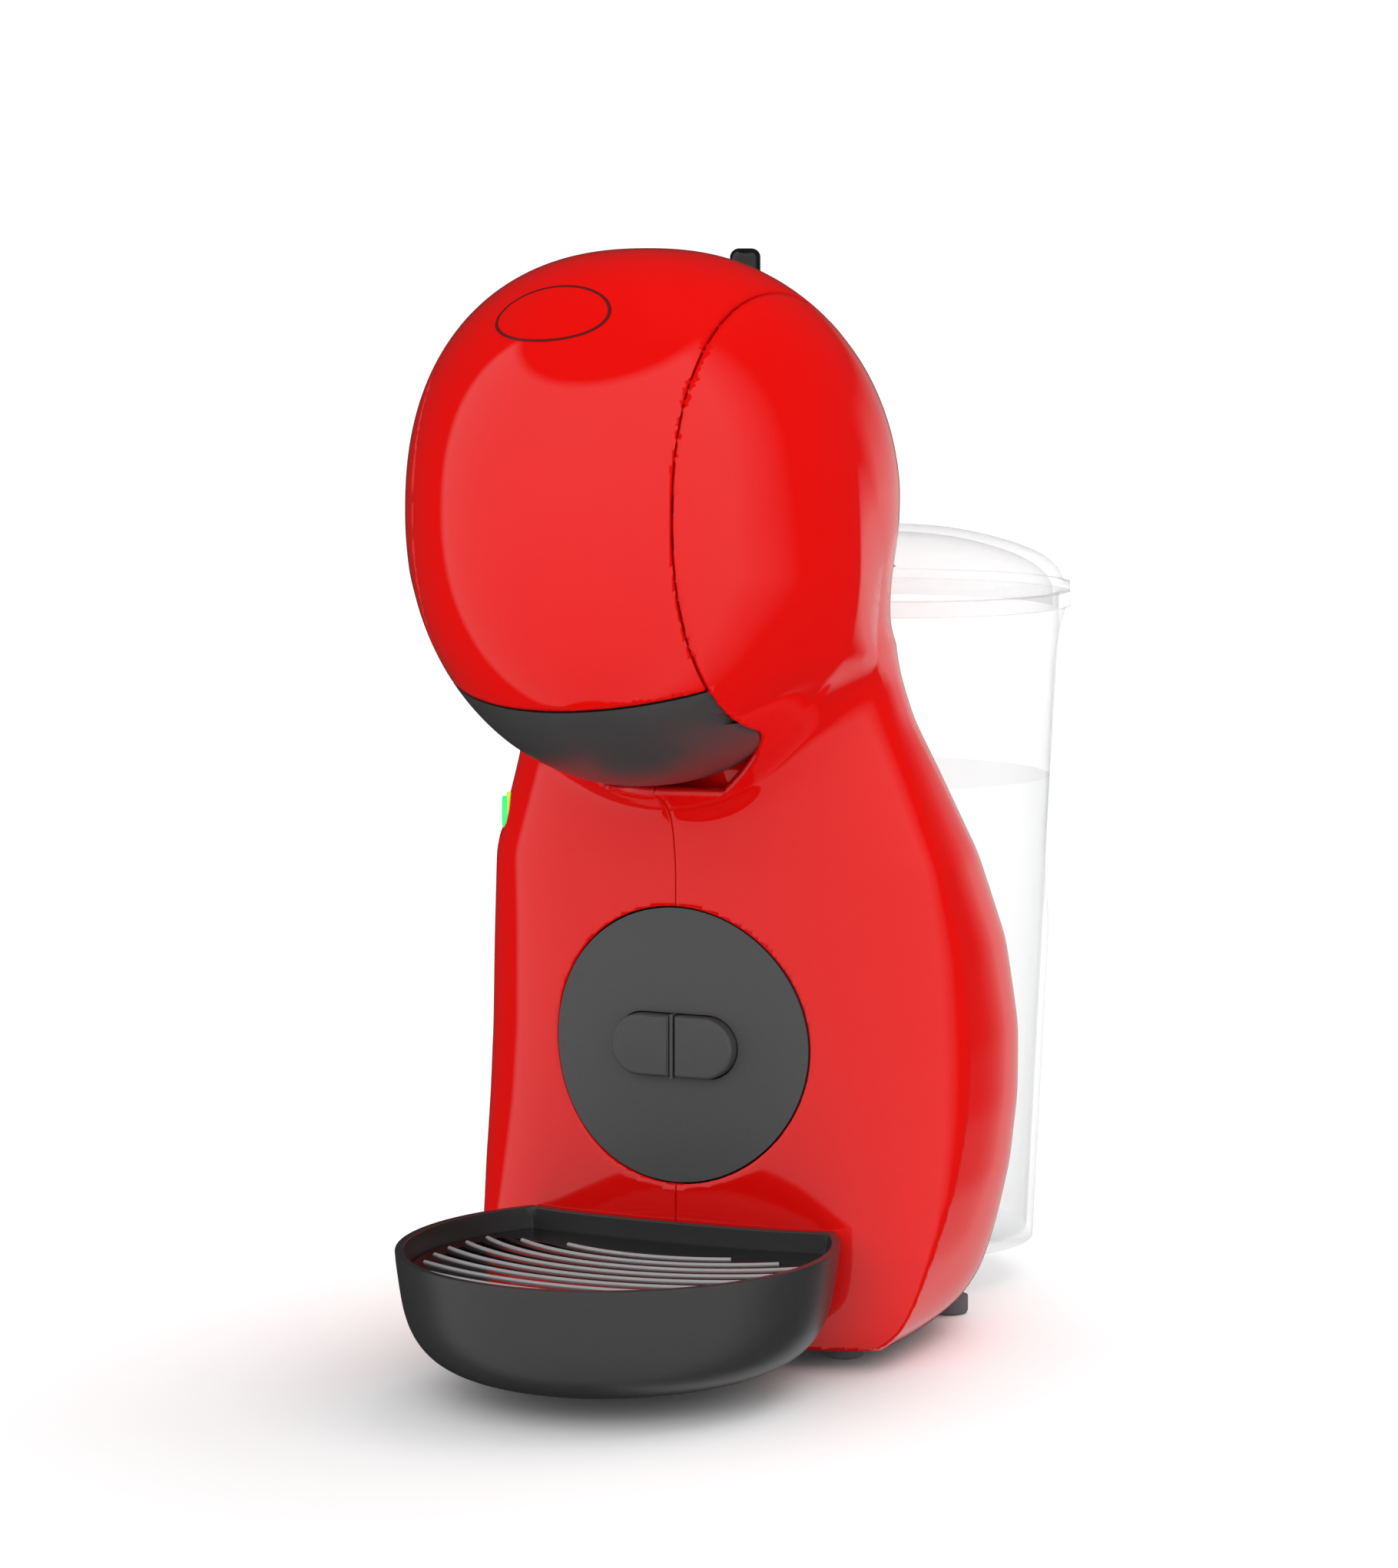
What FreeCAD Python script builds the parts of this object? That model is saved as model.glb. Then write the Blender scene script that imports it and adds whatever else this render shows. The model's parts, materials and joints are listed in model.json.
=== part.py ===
import FreeCAD, Part
import math
import os

# Pod coffee machine. Millimetres, +Z up, the user stands on the -Y side.
# Origin: centre of the footprint, on the table plane under the feet.

V = FreeCAD.Vector
os.makedirs("parts", exist_ok=True)

# ---------------------------------------------------------------- driving dimensions
WALL = 2.4                  # red shell and visor skin
GAP = 0.35                  # line between neighbouring skins
SLOT = 35.0                 # half width of the visor between the two cheeks

# trunk: height, half width, front Y, back Y, crease Y, roundness of the back
TRUNK = [(5.0, 55.0, -42.6, 43.0, -33.0, 3.6),
         (9.0, 59.4, -44.0, 46.2, -33.0, 4.2),
         (16.0, 62.6, -44.0, 49.3, -32.0, 4.5),
         (28.0, 65.2, -44.0, 51.6, -28.0, 4.5),
         (44.0, 67.3, -44.0, 53.6, -20.0, 4.5),
         (62.0, 68.2, -44.0, 55.0, -13.5, 4.5),
         (80.0, 68.1, -44.0, 54.8, -11.0, 4.5),
         (104.0, 66.9, -44.0, 52.0, -13.0, 3.8),
         (128.0, 63.6, -44.0, 44.1, -20.0, 3.2),
         (152.0, 55.8, -47.6, 31.2, -21.0, 2.8),
         (164.0, 51.8, -50.5, 25.5, -23.0, 2.5),
         (176.0, 49.6, -57.0, 22.5, -27.0, 2.4),
         (190.0, 50.4, -80.0, 20.5, -40.0, 2.4),
         (205.0, 52.8, -108.0, 20.4, -54.5, 2.3),
         (220.0, 54.2, -122.0, 24.0, -57.0, 2.25)]

# head: an egg round its own centre, with its own reach each way
HEAD_Y = -59.6
HEAD_Z = 220.0
HEAD_W = 55.4
HEAD_FRONT = 76.6
HEAD_UP = 65.35
HEAD_DOWN = 69.2
HEAD_BACK = [(150.0, 8.0), (176.0, 13.0), (188.0, 17.0), (205.0, 22.0), (220.0, 26.0), (235.0, 25.0),
             (251.0, 17.0), (262.0, 8.0), (270.0, -3.3), (279.0, -26.0), (286.0, -59.0)]

LIP_Z = 173.3               # lower edge of the visor on the centre line
LIP_Y = -120.9
LIP_RISE = 0.256            # the edge climbs to the rear by this much per mm
WELL_Y = -71.6              # where the straight sides of the head's well end
WELL_BACK = 24.0            # depth of its rounded rear end
VISOR_BACK_Z = 252.6        # rear lower edge of the visor

HINGE_Y = 11.5
HINGE_Z = 253.0
PIN_R = 2.0
KNUCKLE_R = 4.0
KNUCKLE_X = 5.5             # half width of the fixed middle knuckle
HINGE_X = 13.3              # half width of the whole hinge
PLAY = 0.05                 # radial play of pins and stems

DISC_Z = 82.0
DISC_R = 35.5
PAD_HALF = 17.0             # half length of the split key in the disc
PAD_R = 8.0

TANK_Y = 85.4
TANK_RIM = (54.3, 51.6, 191.0)    # half width, half depth, height
TANK_FOOT = (44.8, 43.0, 10.6)
TANK_WALL = 1.8

TRAY_Y = -77.4
TRAY_W = 55.1
TRAY_D = 59.6
TRAY_TOP = 36.4
TRAY_STEPS = [(4.6, 30.0), (5.6, 20.0), (7.5, 13.5), (10.0, 9.0), (13.0, 6.0),
              (17.5, 3.4), (23.0, 1.8), (30.0, 0.7), (36.4, 0.0)]

POD_Y = -74.0               # axis of the capsule
POD_R = 25.0                # mouth of the tapered pocket
POD_FOOT_R = 17.0
POD_FLOOR = 159.0

GLAND_Y = 26.0
GLAND_Z = 21.0

BUTTON_AT = V(-58.6, -24.6, 137.5)
BUTTON_IN = V(0.873, 0.488, 0.0)


# ---------------------------------------------------------------- small helpers
def save(name, shape):
    if shape.ShapeType == "Compound" and len(shape.Solids) == 1:
        shape = shape.Solids[0]
    shape.exportStep("parts/%s.step" % name)


def box(x0, x1, y0, y1, z0, z1):
    return Part.makeBox(x1 - x0, y1 - y0, z1 - z0, V(x0, y0, z0))


def rod(radius, start, end):
    path = end - start
    return Part.makeCylinder(radius, path.Length, start, path)


def table(rows, z):
    """Straight-line reading of a two-column table."""
    for (z0, v0), (z1, v1) in zip(rows, rows[1:]):
        if z <= z1:
            return v0 + (v1 - v0) * (z - z0) / (z1 - z0)
    return rows[-1][1]


def radius_at(w, d, n, angle):
    c, s = abs(math.cos(angle)) / w, abs(math.sin(angle)) / d
    return (c ** n + s ** n) ** (-1.0 / n)


def spline(points):
    curve = Part.BSplineCurve()
    curve.interpolate(points)
    return curve.toShape()


def ellipse_wire(a, b, yc, z):
    """A closed ellipse with half width a and half depth b."""
    if a >= b:
        e = Part.Ellipse(V(a, yc, z), V(0, yc + b, z), V(0, yc, z))
    else:
        e = Part.Ellipse(V(0, yc + b, z), V(a, yc, z), V(0, yc, z))
    return Part.Wire([e.toShape()])


def mirrored(shape):
    return shape.mirror(V(0, 0, 0), V(1, 0, 0))


# ---------------------------------------------------------------- outer forms
def trunk_wire(row, inset):
    """One level of the trunk: front curve to the creases, then the side and back curve."""
    z, w, front, back, crease, n_back = row
    w, front, back = w - inset, front + inset, back - inset
    yc = crease + 5.0
    d = yc - front
    stop = math.asin(min(5.0 / d, 0.9))
    for _ in range(30):
        r = radius_at(w, d, 2.3, stop)
        stop *= (5.0 / (r * math.sin(stop))) ** 0.8
    half = []
    for i in range(9):
        a = math.pi / 2 - (math.pi / 2 - stop) * i / 8.0
        r = radius_at(w, d, 2.3, a)
        half.append((r * math.cos(a), yc - r * math.sin(a)))
    xc, y0 = half[-1]
    front_pts = [V(-x, y, z) for x, y in reversed(half[1:])] + [V(x, y, z) for x, y in half]
    side = []
    for i in range(13):
        a = math.pi / 2 * i / 12.0
        r = radius_at(xc, back - y0, n_back, a)
        y = r * math.sin(a)
        side.append((r * math.cos(a) * (1.0 - 0.03 * y / (back - y0)), y0 + y))
    side[-1] = (0.0, back)
    back_pts = [V(x, y, z) for x, y in side] + [V(-x, y, z) for x, y in reversed(side[:-1])]
    return Part.Wire([spline(front_pts), spline(back_pts)])


def trunk(inset, top=220.0):
    rows = [r for r in TRUNK if r[0] <= top]
    return Part.makeLoft([trunk_wire(r, inset) for r in rows], True, False)


def head_wire(z, inset):
    reach = (HEAD_UP if z >= HEAD_Z else HEAD_DOWN) - inset
    n = 2.32 if z >= HEAD_Z else 2.05
    k = max(1.0 - abs((z - HEAD_Z) / reach) ** n, 1e-5) ** (1.0 / n)
    w, d = (HEAD_W - inset) * k, (HEAD_FRONT - inset) * k
    back = max(table(HEAD_BACK, z) - inset * 1.25 - HEAD_Y, 0.8 * d)
    if z < 180.0:
        back = max(back * k * 1.1, d)
    n_back = table([(205.0, 2.25), (235.0, 2.2), (262.0, 2.0), (290.0, 2.0)], max(z, 205.0))
    half = []
    for i in range(19):
        a = math.pi * i / 18.0 - math.pi / 2
        r = radius_at(w, d, 2.0, a) if a < 0 else radius_at(w, back, n_back, a)
        half.append(V(r * math.cos(a), HEAD_Y + r * math.sin(a), z))
    half[0].x = 0.0
    half[-1].x = 0.0
    other = [V(-p.x, p.y, p.z) for p in reversed(half)]
    return Part.Wire([spline(half), spline(other)])


def head(inset):
    up, down = HEAD_UP - inset, HEAD_DOWN - inset
    low = [HEAD_Z - down * s for s in (0.9985, 0.985, 0.945, 0.87, 0.76, 0.6, 0.42, 0.2)]
    high = [HEAD_Z + up * s for s in (0.0, 0.2, 0.38, 0.54, 0.68, 0.8, 0.89, 0.95, 0.985, 0.9988)]
    return Part.makeLoft([head_wire(z, inset) for z in low + high], True, False)


def well(half, front, back_gap, z0, z1):
    """The slot between the cheeks: straight sides, and a half-ellipse rear end."""
    depth = WELL_BACK - back_gap
    e = Part.Ellipse(V(half, WELL_Y, z0), V(0, WELL_Y + depth, z0), V(0, WELL_Y, z0))
    end = Part.Arc(e, 0.0, math.pi).toShape()
    a, b = V(half, WELL_Y, z0), V(-half, WELL_Y, z0)
    c, d = V(-half, front, z0), V(half, front, z0)
    wire = Part.Wire([end, Part.makeLine(b, c), Part.makeLine(c, d), Part.makeLine(d, a)])
    return Part.Face(wire).extrude(V(0, 0, z1 - z0))


def above_lip(rise):
    """Everything above the visor's sloping lower edge, raised by rise."""
    def z_at(y):
        return LIP_Z + rise + LIP_RISE * (y - LIP_Y)
    pts = [V(-90, -160, z_at(-160)), V(-90, 90, z_at(90)), V(-90, 90, 330), V(-90, -160, 330)]
    return Part.Face(Part.makePolygon(pts + pts[:1])).extrude(V(180, 0, 0))


def tank_form(grow, z0, z1):
    """Tapered elliptical body between two heights, grown by grow all round."""
    wires = []
    for z in (z0, z1):
        f = (z - TANK_FOOT[2]) / (TANK_RIM[2] - TANK_FOOT[2])
        a = TANK_FOOT[0] + (TANK_RIM[0] - 1.2 - TANK_FOOT[0]) * f + grow
        b = TANK_FOOT[1] + (TANK_RIM[1] - 1.2 - TANK_FOOT[1]) * f + grow
        wires.append(ellipse_wire(a, b, TANK_Y, z))
    return Part.makeLoft(wires, True, True)


OUTER_TRUNK = trunk(0.0)
OUTER_HEAD = head(0.0)
OUTER = OUTER_TRUNK.fuse(OUTER_HEAD)
INNER_TRUNK = trunk(WALL)
INNER_HEAD = head(WALL)


# ---------------------------------------------------------------- shells and back
def visor_zone(gap):
    """Between the cheeks, from the rounded rear of the chin to the rear of the crown."""
    low = well(SLOT + gap, -150.0, 0.0, 148.0, VISOR_BACK_Z)
    high = box(-SLOT - gap, SLOT + gap, -150.0, 40.0, VISOR_BACK_Z - gap, 300.0)
    return low.fuse(high)


def across(radius, x0, x1, y, z):
    return rod(radius, V(x0, y, z), V(x1, y, z))


def ring(r_out, r_in, start, end):
    path = end - start
    tip = path * (1.0 / path.Length)
    return rod(r_out, start, end).cut(rod(r_in, start - tip, end + tip))


def biggest(shape):
    return max(shape.Solids, key=lambda s: s.Volume)


def shells():
    """Two red shells that meet on the centre line of the front and the back."""
    cavity = INNER_TRUNK.common(box(-90, 90, -60, 80, 0, 204))
    body = OUTER.cut(cavity)
    body = body.cut(FLOOR_FORM.common(box(-90, 90, -60, 80, 0, 8.2)))
    cheek = INNER_HEAD.cut(box(-SLOT - 2.4, SLOT + 2.4, -150, 60, 100, 300))
    body = body.cut(cheek.common(box(-90, 90, -150, 60, 160, 300)))
    core = INNER_HEAD.common(box(-SLOT - 0.3, SLOT + 0.3, -46.0, 60, 176, 249.0))
    body = body.cut(core).cut(visor_zone(0.3))
    body = body.cut(across(KNUCKLE_R + 1.5, -SLOT - 0.3, SLOT + 0.3, HINGE_Y, HINGE_Z))
    body = body.cut(tank_form(3.4, 4.0, 230.0))
    body = body.cut(box(-27.2, 27.2, 30.0, 60.0, 4.0, 8.4))
    body = body.cut(rod(DISC_R + 0.5, V(0, -60, DISC_Z), V(0, -20, DISC_Z)))
    body = body.cut(rod(5.4, BUTTON_AT - BUTTON_IN * 8, BUTTON_AT + BUTTON_IN * 8))
    body = body.cut(rod(3.2, V(0, -52, 216), V(0, -40, 216)))
    body = body.cut(across(4.0, -80, -50, GLAND_Y, GLAND_Z))
    left = body.common(box(-90, 0, -160, 90, 0, 300))
    right = body.common(box(0, 90, -160, 90, 0, 300))
    return biggest(left), biggest(right)


def spine():
    """Rear wall that wraps round the front of the water tank, inside the shells' rear edges."""
    skin = tank_form(3.4, 8.3, 176.0).cut(tank_form(1.2, 4.0, 200.0))
    return biggest(skin.common(OUTER_TRUNK))


# ---------------------------------------------------------------- visor and its hinge
def visor():
    """The red front handle: a curved strip with side flanges and two hinge knuckles."""
    low = well(SLOT - GAP, -150.0, 0.8, 148.0, VISOR_BACK_Z)
    high = box(-SLOT + GAP, SLOT - GAP, -150.0, 60.0, VISOR_BACK_Z, 300.0)
    body = OUTER_HEAD.common(low.fuse(high)).common(above_lip(0.3))
    body = body.cut(INNER_HEAD.common(box(-31.5, 31.5, -150, 60, 150, 300)))
    body = body.cut(head(13.0))
    knuckles = across(KNUCKLE_R, -HINGE_X, HINGE_X, HINGE_Y, HINGE_Z).common(OUTER_HEAD)
    body = body.fuse(knuckles)
    body = body.cut(across(KNUCKLE_R + 0.7, -KNUCKLE_X - 0.3, KNUCKLE_X + 0.3, HINGE_Y, HINGE_Z))
    return biggest(body.cut(across(PIN_R + PLAY, -40, 40, HINGE_Y, HINGE_Z)))


def hinge_block():
    """Fixed middle knuckle on the roof of the neck."""
    block = box(-KNUCKLE_X, KNUCKLE_X, HINGE_Y - 7.0, HINGE_Y + 2.0, 249.0, HINGE_Z)
    block = block.cut(box(-50, 50, HINGE_Y - 7.1, HINGE_Y - 6.0, 251.0, 260))
    block = block.fuse(across(KNUCKLE_R, -KNUCKLE_X, KNUCKLE_X, HINGE_Y, HINGE_Z))
    return block.cut(across(PIN_R + PLAY, -40, 40, HINGE_Y, HINGE_Z)).cut(SHELL_BODY)


def hinge_pin():
    return across(PIN_R, -HINGE_X, HINGE_X, HINGE_Y, HINGE_Z)


def badge():
    """Plain oval ring inlay high on the visor, without any mark inside."""
    axis = V(0.0, -0.80, 0.60)
    c = V(0, -108.0, 266.0)
    tube = Part.Ellipse(V(15.0, 0, 0), V(0, 10.6, 0), V(0, 0, 0))
    hole = Part.Ellipse(V(14.2, 0, 0), V(0, 9.8, 0), V(0, 0, 0))
    solids = []
    for e in (tube, hole):
        s = Part.Face(Part.Wire([e.toShape()])).extrude(V(0, 0, 40))
        s.translate(V(0, 0, -20))
        s.Placement = FreeCAD.Placement(c, FreeCAD.Rotation(V(0, 0, 1), axis)).multiply(s.Placement)
        solids.append(s)
    band = OUTER_HEAD.cut(head(0.3))
    return solids[0].cut(solids[1]).common(band)


def knob():
    """Flared round knob behind the crown of the visor, its foot cut to the slope it stands on."""
    post = rod(4.0, V(0, -1.5, 274.0), V(0, -1.5, 285.2))
    post = post.makeFillet(2.4, [e for e in post.Edges if e.BoundBox.ZMin > 285.0])
    skirt = Part.makeCone(6.4, 4.0, 6.0, V(0, -1.5, 271.5))
    foot_part = rod(6.4, V(0, -1.5, 256.0), V(0, -1.5, 271.5))
    body = foot_part.fuse(skirt).fuse(post.common(box(-9, 9, -12, 9, 277.5, 290.0)))
    slope = Part.makePolygon([V(-20, -12, 274.2), V(-20, 14, 256.5), V(-20, 14, 240), V(-20, -12, 240),
                              V(-20, -12, 274.2)])
    return biggest(body.cut(Part.Face(slope).extrude(V(40, 0, 0))).removeSplitter())


# ---------------------------------------------------------------- brewing parts in the head
def capsule_holder():
    """Black drawer under the visor; its belly is the chin of the head."""
    body = OUTER_HEAD.common(well(SLOT - GAP, -150.0, GAP + 0.3, 148.0, 230.0))
    body = body.cut(above_lip(-0.4)).cut(box(-90, 90, -160, 60, 180.0, 300))
    body = body.cut(trunk(-0.5))
    body = body.cut(Part.makeCone(POD_FOOT_R, POD_R, 180.0 - POD_FLOOR, V(0, POD_Y, POD_FLOOR)))
    body = body.cut(rod(POD_R + 1.6, V(0, POD_Y, 178.4), V(0, POD_Y, 190)))
    body = body.cut(rod(3.0, V(0, POD_Y, 140), V(0, POD_Y, 170)))
    for side in (-1, 1):
        x = side * (SLOT - 1.5)
        body = body.cut(box(min(x, x + 9 * side), max(x, x + 9 * side), -112, -40, 169.6, 172.8))
    return biggest(body)


def rails():
    """Two guide strips on the inner cheek walls that the drawer's grooves run on."""
    right = box(SLOT - 1.1, SLOT + 0.3, -78.5, -62.0, 170.0, 172.4)
    return Part.makeCompound([right.cut(RIGHT), mirrored(right).cut(LEFT)])


def pod_ring():
    """Metal rim that lines the mouth of the capsule pocket."""
    return ring(POD_R + 1.6, POD_R - 0.6, V(0, POD_Y, 178.4), V(0, POD_Y, 180.0))


def brew_head():
    """Fixed block above the drawer that carries the injector and the hot water."""
    body = box(-26, 26, -106.0, -48.5, 206.0, 226.0)
    body = body.makeFillet(3.0, [e for e in body.Edges if e.BoundBox.ZLength > 1.0])
    neck = box(-14, 14, -50.0, -47.0, 208.0, 224.0)
    return body.fuse(neck).cut(SHELL_BODY).cut(rod(6.0 + PLAY, V(0, POD_Y, 200), V(0, POD_Y, 218)))


def injector_plate():
    plate = rod(22.0, V(0, POD_Y, 190.5), V(0, POD_Y, 194.5))
    return plate.fuse(rod(6.0, V(0, POD_Y, 194.0), V(0, POD_Y, 207.5)))


def injector_seal():
    return ring(17.5, 14.5, V(0, POD_Y, 181.4), V(0, POD_Y, 190.5))


def injector_needle():
    tip = Part.makeCone(0.4, 1.3, 3.0, V(0, POD_Y, 181.4))
    return tip.fuse(rod(1.3, V(0, POD_Y, 184.4), V(0, POD_Y, 190.5)))


# ---------------------------------------------------------------- front controls
def pill(half, radius, y0, y1):
    """Bar with round ends, lying along X, cut along Y."""
    mid = box(-half + radius, half - radius, y0, y1, DISC_Z - radius, DISC_Z + radius)
    for x in (-half + radius, half - radius):
        mid = mid.fuse(rod(radius, V(x, y0, DISC_Z), V(x, y1, DISC_Z)))
    return mid


def front_disc():
    body = OUTER_TRUNK.cut(trunk(2.6)).common(rod(DISC_R, V(0, -60, DISC_Z), V(0, -20, DISC_Z)))
    body = biggest(body).cut(pill(PAD_HALF + 0.35, PAD_R + 0.35, -60, -20))
    for x in (-24.0, 24.0):
        post = rod(2.0, V(x, -42.0, DISC_Z), V(x, -32.0, DISC_Z))
        body = body.fuse(post.common(trunk(1.5)))
    return biggest(body)


def key_fin():
    fin = box(-0.45, 0.45, -46.6, -34.6, DISC_Z - PAD_R - 0.35, DISC_Z + PAD_R + 0.35)
    return fin.fuse(box(-0.45, 0.45, -41.2, -39.4, DISC_Z - 11.0, DISC_Z + 11.0))


def pad(side):
    body = pill(PAD_HALF, PAD_R, -46.9, -38.6)
    body = body.common(box(0.8, 60, -60, 0, 0, 200))
    edges = [e for e in body.Edges if e.BoundBox.YMax < -46.8]
    body = body.makeFillet(0.9, edges)
    return body if side > 0 else mirrored(body)


def switch_board():
    return box(-27, 27, -32.0, -30.4, DISC_Z - 12, DISC_Z + 12)


def micro_switch(x):
    return box(x - 4, x + 4, -36.6, -32.0, DISC_Z - 4, DISC_Z + 4)


def power_button():
    return rod(4.2, BUTTON_AT - BUTTON_IN * 1.0, BUTTON_AT + BUTTON_IN * 6.0)


def power_ring():
    return ring(5.3, 4.5, BUTTON_AT + BUTTON_IN * 0.2, BUTTON_AT + BUTTON_IN * 3.2)


def power_switch():
    at = BUTTON_AT + BUTTON_IN * 8.0
    return rod(4.5, at, at + BUTTON_IN * 6.0)


# ---------------------------------------------------------------- inside the trunk
def base_plate():
    """Floor of the trunk with the tank's seat behind it and a channel for the water pipe."""
    floor = trunk(WALL + 0.15, 16.0).common(box(-90, 90, -60, 80, 5.0, 8.2))
    lug = rod(27.0, V(0, 58.0, 5.0), V(0, 58.0, 8.2)).fuse(box(-27, 27, 30, 58, 5.0, 8.2))
    lug = lug.fuse(rod(12.0, V(0, 66.0, 8.2), V(0, 66.0, 10.3)))
    body = floor.fuse(lug)
    body = body.cut(box(-1.9, 1.9, -16.9, 66.0, 4.0, 8.0)).cut(rod(4.4, V(0, 66, 4), V(0, 66, 12)))
    return body.cut(rod(1.9, V(0, -15.0, 4.0), V(0, -15.0, 12.0)))


def seat_coupling():
    """Rubber socket in the seat that the tank's outlet stands on."""
    return ring(4.4, 1.5, V(0, 66, 5.4), V(0, 66, 10.3))


def foot(x, y, radius, top):
    body = rod(radius, V(x, y, 0.0), V(x, y, top))
    return body.makeChamfer(0.6, [e for e in body.Edges if e.BoundBox.ZMax < 0.1])


def chassis():
    """Upright plate that every inner part is fixed to."""
    body = box(-24, 24, 2.0, 5.0, 8.2, 198.0)
    body = body.fuse(box(-24, 24, -8.0, 2.0, 8.2, 11.0).cut(rod(3.0, V(0, -8, 0), V(0, -8, 20))))
    for z in (60.0, 126.0):
        for x in (-18.0, 18.0):
            body = body.fuse(rod(2.0, V(x, 4.5, z), V(x, 9.0, z)))
    return body


def control_board():
    return box(-22, 22, 9.0, 10.6, 54.0, 132.0)


def board_parts():
    """Relay, coil and capacitor on the control board."""
    relay = box(-16, -2, 10.6, 22.0, 100.0, 118.0)
    coil = rod(5.5, V(10, 10.6, 108), V(10, 20.0, 108))
    cap = rod(4.5, V(8, 10.6, 76), V(8, 24.0, 76))
    return Part.makeCompound([relay, coil, cap])


def pump():
    body = rod(11.0, V(0, -15, 34), V(0, -15, 92)).fuse(box(-13, 13, -27, -5, 50, 76))
    body = body.fuse(rod(3.4, V(0, -15, 28), V(0, -15, 34)))
    return body.fuse(rod(3.4, V(0, -15, 92), V(0, -15, 98)))


def collar(z, radius, y, height):
    """Ring on a short arm that reaches back to the chassis."""
    body = rod(radius + 2.6, V(0, y, z), V(0, y, z + height))
    body = body.fuse(box(-7, 7, y, 2.0, z, z + height))
    return body.cut(rod(radius, V(0, y, z - 1), V(0, y, z + height + 1)))


def heater():
    body = rod(14.5, V(0, -17, 112), V(0, -17, 156))
    body = body.fuse(rod(3.4, V(0, -17, 156), V(0, -17, 160)))
    return body.fuse(rod(3.4, V(0, -17, 108), V(0, -17, 112)))


def thermostat():
    return box(-6, 6, -35.4, -31.0, 128.0, 140.0).cut(rod(14.5, V(0, -17, 112), V(0, -17, 156)))


def pipe(radius, points, bend):
    """Tube of straight runs and tangent arcs."""
    edges = []
    last = points[0]
    for a, b, c in zip(points, points[1:], points[2:]):
        u, w = (a - b), (c - b)
        u.normalize()
        w.normalize()
        cut = bend / math.tan(u.getAngle(w) / 2.0)
        p, q = b + u * cut, b + w * cut
        half = u + w
        half.normalize()
        mid = b + half * (bend / math.sin(u.getAngle(w) / 2.0) - bend)
        edges += [Part.makeLine(last, p), Part.Arc(p, mid, q).toShape()]
        last = q
    edges.append(Part.makeLine(last, points[-1]))
    path = Part.Wire(edges)
    start = points[1] - points[0]
    profile = Part.Wire([Part.Circle(points[0], start, radius).toShape()])
    return path.makePipeShell([profile], True, True)


def inlet_pipe():
    return pipe(1.3, [V(0, 64.4, 6.5), V(0, -15, 6.5), V(0, -15, 28)], 6.0)


def feed_pipe():
    return pipe(2.0, [V(0, -15, 98), V(0, -15, 103), V(0, -17, 105), V(0, -17, 108)], 0.6)


def brew_pipe():
    return pipe(2.0, [V(0, -17, 160), V(0, -17, 216), V(0, -49.6, 216)], 12.0)


def cord_inlet():
    """Rubber gland low on the left, where a mains lead would leave."""
    body = ring(3.95, 2.0, V(-72, GLAND_Y, GLAND_Z), V(-56, GLAND_Y, GLAND_Z))
    return biggest(body.common(trunk(-1.0, 62.0)))


def screws():
    """Four screws that hold the floor to the chassis and shells."""
    at = [(-18.0, -3.0), (18.0, -3.0), (-30.0, 34.0), (30.0, 34.0)]
    return Part.makeCompound([rod(2.6, V(x, y, 4.2), V(x, y, 5.0)) for x, y in at])


# ---------------------------------------------------------------- drip tray
def tray_form(inset, z_low):
    wires = []
    for z, cut in TRAY_STEPS:
        if z >= z_low - 0.01:
            wires.append(ellipse_wire(TRAY_W - cut - inset, TRAY_D - cut - inset, TRAY_Y, z))
    return Part.makeLoft(wires, True, False)


def drip_tray():
    body = tray_form(0.0, 0.0).cut(trunk(-0.5, 62.0))
    hollow = tray_form(2.2, 7.5).cut(trunk(-2.8, 62.0))
    body = body.cut(hollow)
    ledge = tray_form(1.0, 17.5).cut(tray_form(4.6, 17.5)).common(box(-90, 90, -150, 0, 26.0, 28.2))
    body = body.fuse(ledge.cut(trunk(-1.0, 62.0)))
    return biggest(body)


def tray_foot():
    return foot(0.0, TRAY_Y - 1.2, 4.6, 4.6)


def drip_grid():
    """Lift-out plate with curved slots that bow to the front."""
    z0, z1 = 28.3, 31.0
    plate = tray_form(3.0, 23.0).common(box(-90, 90, -150, 0, z0, z1)).cut(trunk(-3.6, 62.0))
    field = tray_form(7.5, 23.0).common(box(-90, 90, -150, 0, z0 - 1, z1 + 1)).cut(trunk(-17.0, 62.0))
    for i in range(9):
        r = 28.0 + 7.0 * i
        band = ring(r + 4.6, r, V(0, -12.0, z0 - 1), V(0, -12.0, z1 + 1))
        plate = plate.cut(band.common(field))
    return biggest(plate)


# ---------------------------------------------------------------- water tank
def water_tank():
    body = tank_form(0.0, TANK_FOOT[2], 188.0)
    rim = Part.Face(ellipse_wire(TANK_RIM[0], TANK_RIM[1], TANK_Y, 187.0)).extrude(V(0, 0, 4.0))
    body = body.fuse(rim)
    body = body.cut(tank_form(-TANK_WALL, TANK_FOOT[2] + 2.2, 200.0))
    body = body.fuse(rod(6.5, V(0, 66, 10.6), V(0, 66, 20.0)))
    return body.cut(rod(3.6 + PLAY, V(0, 66, 5), V(0, 66, 30)))


def tank_valve():
    """Poppet in the tank's outlet that the seat pushes open."""
    return rod(3.6, V(0, 66, 11.0), V(0, 66, 18.5)).fuse(rod(5.0, V(0, 66, 20.3), V(0, 66, 22.0))).fuse(
        rod(2.0, V(0, 66, 18.0), V(0, 66, 21.0)))


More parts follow.
